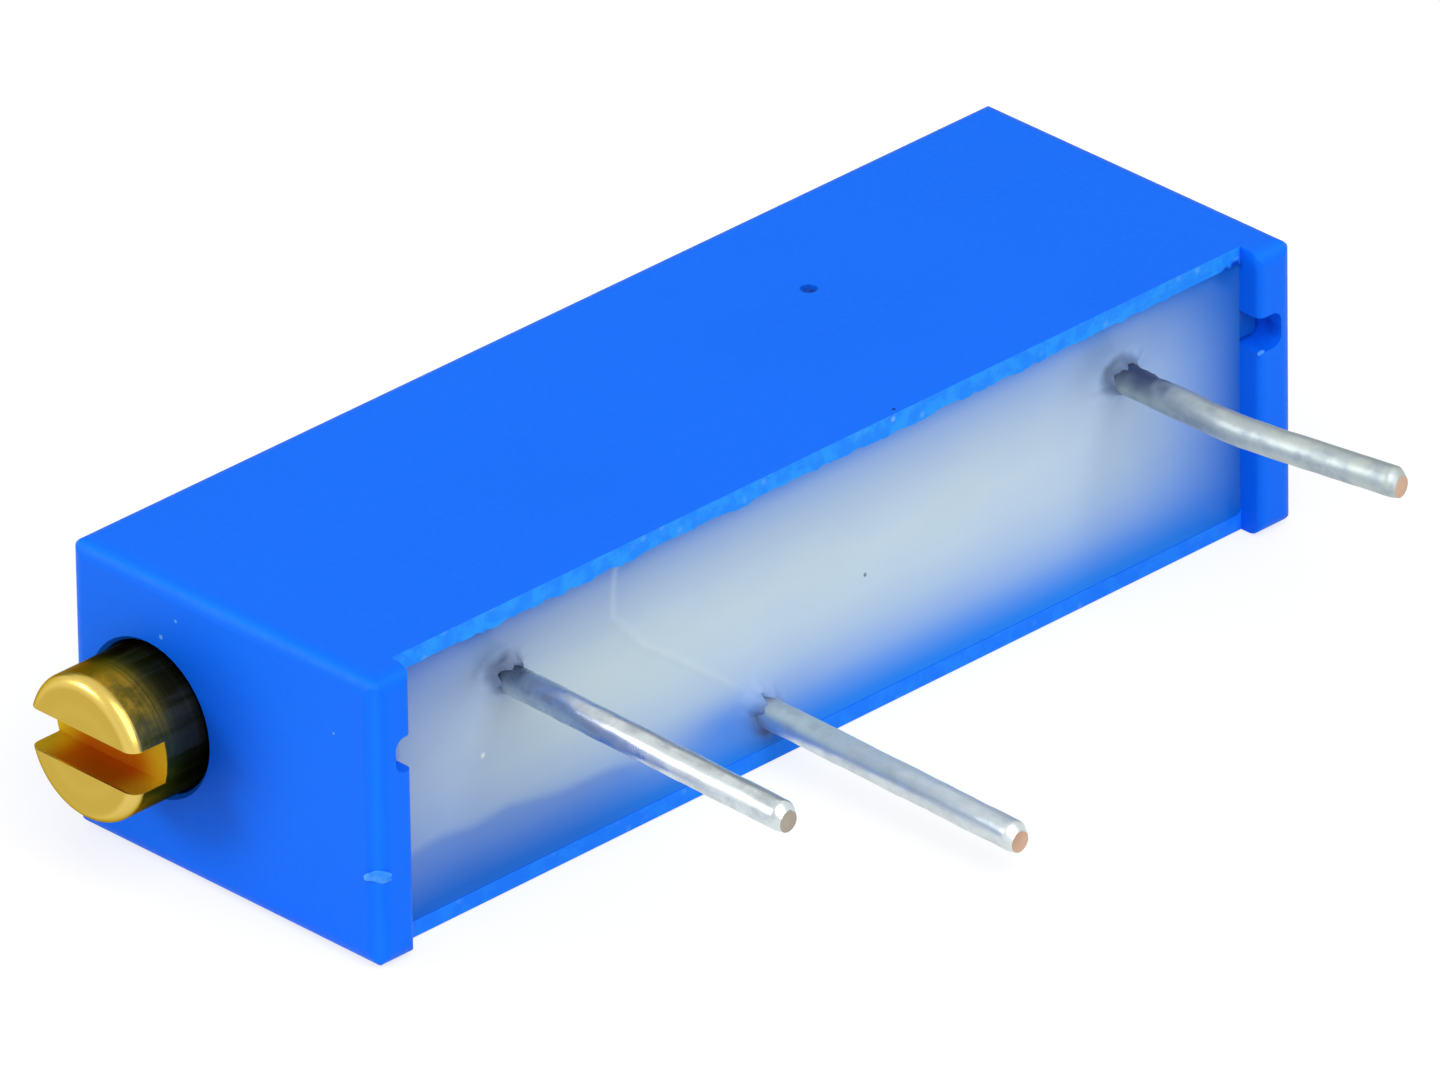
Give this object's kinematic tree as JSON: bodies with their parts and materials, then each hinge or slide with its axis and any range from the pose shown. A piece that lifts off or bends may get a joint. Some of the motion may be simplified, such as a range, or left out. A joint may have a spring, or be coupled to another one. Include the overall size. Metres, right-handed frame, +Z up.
{
  "type": "multi-turn trimmer potentiometer",
  "caption": "Small rectangular blue sealed trimmer potentiometer with a slotted brass screw at one end and round solder pins in a pale resin base.",
  "frame": {"origin": "middle of the plain long side face that it lies on in the picture", "axes": "+X along the body away from the adjustment screw, -Y the way the pins point, +Z up out of the side it lies on"},
  "size_m": [0.0204, 0.0115, 0.0048],
  "materials": {
    "housing_blue": "satin",
    "screw_brass": "satin",
    "seal_rubber": "matte",
    "clip_steel": "satin",
    "carriage_nylon": "satin",
    "spring_bronze": "satin",
    "brush_metal": "gloss",
    "ceramic": "matte",
    "cermet_film": "satin",
    "silver_film": "satin",
    "tinned_wire": "satin",
    "solder": "satin",
    "epoxy": "satin"
  },
  "bodies": {
    "body": {"housing": "housing_blue", "ceramic_plate": "ceramic", "resistive_track": "cermet_film", "collector_track": "silver_film", "near_end_pad": "silver_film", "far_end_pad": "silver_film", "near_end_pin": "tinned_wire", "wiper_pin": "tinned_wire", "far_end_pin": "tinned_wire", "near_solder": "solder", "wiper_solder": "solder", "far_solder": "solder", "epoxy_seal": "epoxy"},
    "screw": {"adjustment_screw": "screw_brass", "sealing_ring": "seal_rubber", "retaining_clip": "clip_steel"},
    "wiper_carriage": {"carriage": "carriage_nylon", "contact_spring": "spring_bronze", "resistive_brush": "brush_metal", "collector_brush": "brush_metal"}
  },
  "joints": [
    {"name": "carriage_slide", "type": "slide", "parent": "body", "child": "wiper_carriage", "axis": [1, 0, 0], "range_m": [-0.00525, 0.00525]},
    {"name": "screw_turn", "type": "hinge", "parent": "body", "child": "screw", "pos_m": [-0.0109, 0.00158, 0.0024], "axis": [1, 0, 0], "range_deg": [-2700, 2700]}
  ],
  "couplings": [
    {"joint": "screw_turn", "follows": "carriage_slide", "rad_per_m": -8976}
  ]
}
